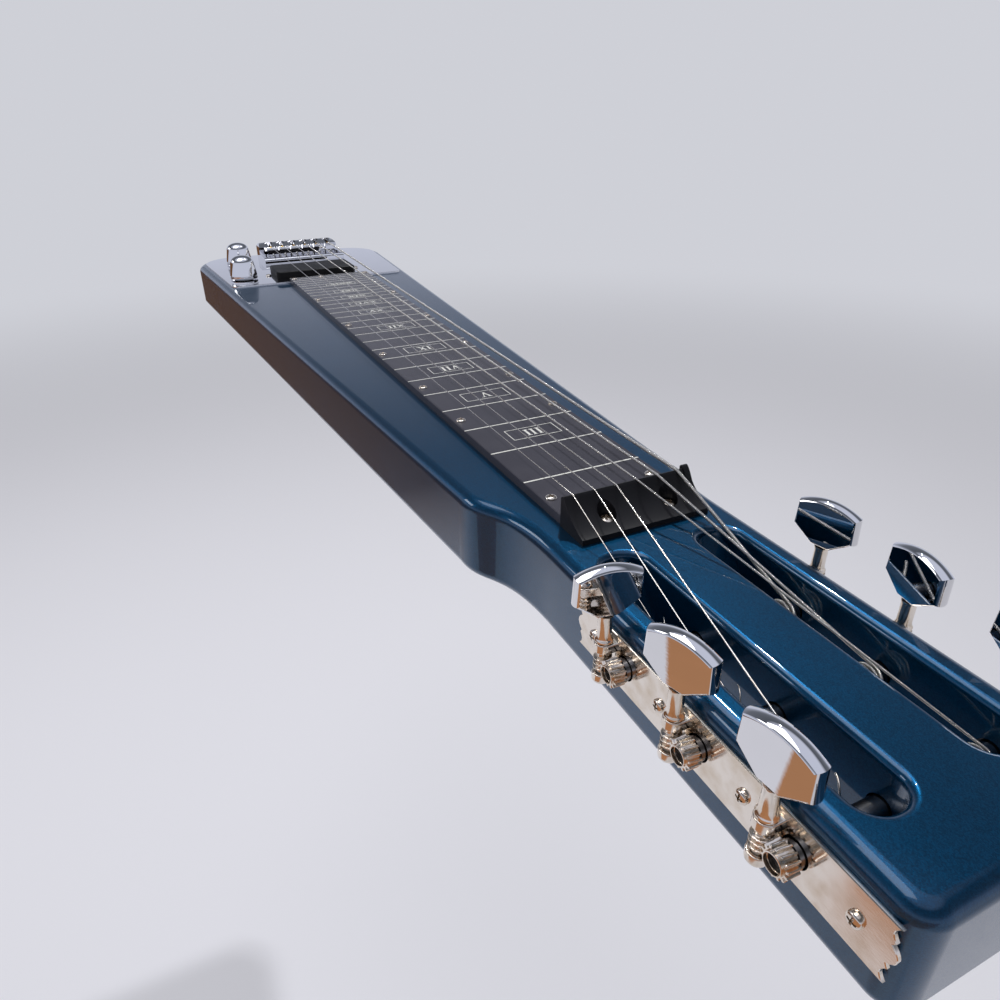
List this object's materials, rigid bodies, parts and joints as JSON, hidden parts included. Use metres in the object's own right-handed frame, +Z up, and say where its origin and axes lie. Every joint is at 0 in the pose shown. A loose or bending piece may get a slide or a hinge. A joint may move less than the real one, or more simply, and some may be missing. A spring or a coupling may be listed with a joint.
{
  "type": "lap steel guitar",
  "caption": "Lap steel guitar with a tapered solid body, a flat marked board, a high nut, a control plate with bridge and knobs, and a slotted headstock.",
  "frame": {"origin": "on the flat back of the body, straight under the nut's ridge where the open strings end", "axes": "+X to the headstock along the strings, +Y to the side away from the player, +Z up from the back to the strings"},
  "size_m": [0.7762, 0.1774, 0.0573],
  "materials": {
    "blue_lacquer": "solid wood under metallic blue gloss lacquer with fine flakes",
    "black_board": "black satin board with white printed lines",
    "black_nut": "matte black moulding",
    "black_cover": "black pickup cover",
    "mirror_chrome": "mirror chrome plate",
    "nickel_parts": "warm bright nickel plate",
    "steel_parts": "plain zinc plated steel",
    "plain_strings": "plain steel wire",
    "wound_strings": "steel wire wound with nickel",
    "copper_coil": "taped coil on a bobbin",
    "ivory_film": "film capacitor"
  },
  "bodies": {
    "guitar": {"body": "blue_lacquer", "fretboard": "black_board", "nut_block": "black_nut", "control_plate": "mirror_chrome", "bridge_base": "mirror_chrome", "pickup_cover": "black_cover", "pickup_coil": "copper_coil", "pickup_base": "steel_parts", "volume_pot": "steel_parts", "tone_pot": "steel_parts", "output_jack": "nickel_parts", "tone_capacitor": "ivory_film", "string_1": "plain_strings", "string_2": "plain_strings", "string_3": "plain_strings", "string_4": "wound_strings", "string_5": "wound_strings", "string_6": "wound_strings", "tuner_plate_near": "nickel_parts", "tuner_plate_far": "nickel_parts"},
    "volume_control": {"volume_knob": "mirror_chrome", "volume_shaft": "steel_parts"},
    "tone_control": {"tone_knob": "mirror_chrome", "tone_shaft": "steel_parts"},
    "tuner_1": {"worm_shaft_1": "nickel_parts", "tuner_button_1": "mirror_chrome"},
    "roller_1": {"string_post_1": "steel_parts", "tuner_gear_1": "nickel_parts"},
    "tuner_2": {"worm_shaft_2": "nickel_parts", "tuner_button_2": "mirror_chrome"},
    "roller_2": {"string_post_2": "steel_parts", "tuner_gear_2": "nickel_parts"},
    "tuner_3": {"worm_shaft_3": "nickel_parts", "tuner_button_3": "mirror_chrome"},
    "roller_3": {"string_post_3": "steel_parts", "tuner_gear_3": "nickel_parts"},
    "tuner_4": {"worm_shaft_4": "nickel_parts", "tuner_button_4": "mirror_chrome"},
    "roller_4": {"string_post_4": "steel_parts", "tuner_gear_4": "nickel_parts"},
    "tuner_5": {"worm_shaft_5": "nickel_parts", "tuner_button_5": "mirror_chrome"},
    "roller_5": {"string_post_5": "steel_parts", "tuner_gear_5": "nickel_parts"},
    "tuner_6": {"worm_shaft_6": "nickel_parts", "tuner_button_6": "mirror_chrome"},
    "roller_6": {"string_post_6": "steel_parts", "tuner_gear_6": "nickel_parts"},
    "saddle_slide_1": {"saddle_1": "steel_parts"},
    "saddle_slide_2": {"saddle_2": "steel_parts"},
    "saddle_slide_3": {"saddle_3": "steel_parts"},
    "saddle_slide_4": {"saddle_4": "steel_parts"},
    "saddle_slide_5": {"saddle_5": "steel_parts"},
    "saddle_slide_6": {"saddle_6": "steel_parts"}
  },
  "joints": [
    {"name": "volume_turn", "type": "hinge", "parent": "guitar", "child": "volume_control", "pos_m": [-0.4947, -0.06791, 0.038], "axis": [0, 0, 1], "range_deg": [-150, 150]},
    {"name": "tone_turn", "type": "hinge", "parent": "guitar", "child": "tone_control", "pos_m": [-0.5629, -0.0619, 0.038], "axis": [0, 0, 1], "range_deg": [-150, 150]},
    {"name": "button_1_turn", "type": "hinge", "parent": "guitar", "child": "tuner_1", "pos_m": [0.0545, -0.0438, 0.0215], "axis": [0, 0, 1], "continuous": true},
    {"name": "post_1_turn", "type": "hinge", "parent": "guitar", "child": "roller_1", "pos_m": [0.061, -0.0438, 0.0215], "axis": [0, 1, 0], "continuous": true},
    {"name": "button_2_turn", "type": "hinge", "parent": "guitar", "child": "tuner_2", "pos_m": [0.0895, -0.0438, 0.0215], "axis": [0, 0, 1], "continuous": true},
    {"name": "post_2_turn", "type": "hinge", "parent": "guitar", "child": "roller_2", "pos_m": [0.096, -0.0438, 0.0215], "axis": [0, 1, 0], "continuous": true},
    {"name": "button_3_turn", "type": "hinge", "parent": "guitar", "child": "tuner_3", "pos_m": [0.1245, -0.0438, 0.0215], "axis": [0, 0, 1], "continuous": true},
    {"name": "post_3_turn", "type": "hinge", "parent": "guitar", "child": "roller_3", "pos_m": [0.131, -0.0438, 0.0215], "axis": [0, 1, 0], "continuous": true},
    {"name": "button_4_turn", "type": "hinge", "parent": "guitar", "child": "tuner_4", "pos_m": [0.1245, 0.0438, 0.0215], "axis": [0, 0, 1], "continuous": true},
    {"name": "post_4_turn", "type": "hinge", "parent": "guitar", "child": "roller_4", "pos_m": [0.131, 0.0438, 0.0215], "axis": [0, 1, 0], "continuous": true},
    {"name": "button_5_turn", "type": "hinge", "parent": "guitar", "child": "tuner_5", "pos_m": [0.0895, 0.0438, 0.0215], "axis": [0, 0, 1], "continuous": true},
    {"name": "post_5_turn", "type": "hinge", "parent": "guitar", "child": "roller_5", "pos_m": [0.096, 0.0438, 0.0215], "axis": [0, 1, 0], "continuous": true},
    {"name": "button_6_turn", "type": "hinge", "parent": "guitar", "child": "tuner_6", "pos_m": [0.0545, 0.0438, 0.0215], "axis": [0, 0, 1], "continuous": true},
    {"name": "post_6_turn", "type": "hinge", "parent": "guitar", "child": "roller_6", "pos_m": [0.061, 0.0438, 0.0215], "axis": [0, 1, 0], "continuous": true},
    {"name": "saddle_1_intonation", "type": "slide", "parent": "guitar", "child": "saddle_slide_1", "axis": [1, 0, 0], "range_m": [-0.002, 0.002]},
    {"name": "saddle_2_intonation", "type": "slide", "parent": "guitar", "child": "saddle_slide_2", "axis": [1, 0, 0], "range_m": [-0.002, 0.002]},
    {"name": "saddle_3_intonation", "type": "slide", "parent": "guitar", "child": "saddle_slide_3", "axis": [1, 0, 0], "range_m": [-0.002, 0.002]},
    {"name": "saddle_4_intonation", "type": "slide", "parent": "guitar", "child": "saddle_slide_4", "axis": [1, 0, 0], "range_m": [-0.002, 0.002]},
    {"name": "saddle_5_intonation", "type": "slide", "parent": "guitar", "child": "saddle_slide_5", "axis": [1, 0, 0], "range_m": [-0.002, 0.002]},
    {"name": "saddle_6_intonation", "type": "slide", "parent": "guitar", "child": "saddle_slide_6", "axis": [1, 0, 0], "range_m": [-0.002, 0.002]}
  ],
  "couplings": [
    {"joint": "post_1_turn", "follows": "button_1_turn", "ratio": -0.071429},
    {"joint": "post_2_turn", "follows": "button_2_turn", "ratio": -0.071429},
    {"joint": "post_3_turn", "follows": "button_3_turn", "ratio": -0.071429},
    {"joint": "post_4_turn", "follows": "button_4_turn", "ratio": -0.071429},
    {"joint": "post_5_turn", "follows": "button_5_turn", "ratio": -0.071429},
    {"joint": "post_6_turn", "follows": "button_6_turn", "ratio": -0.071429}
  ]
}
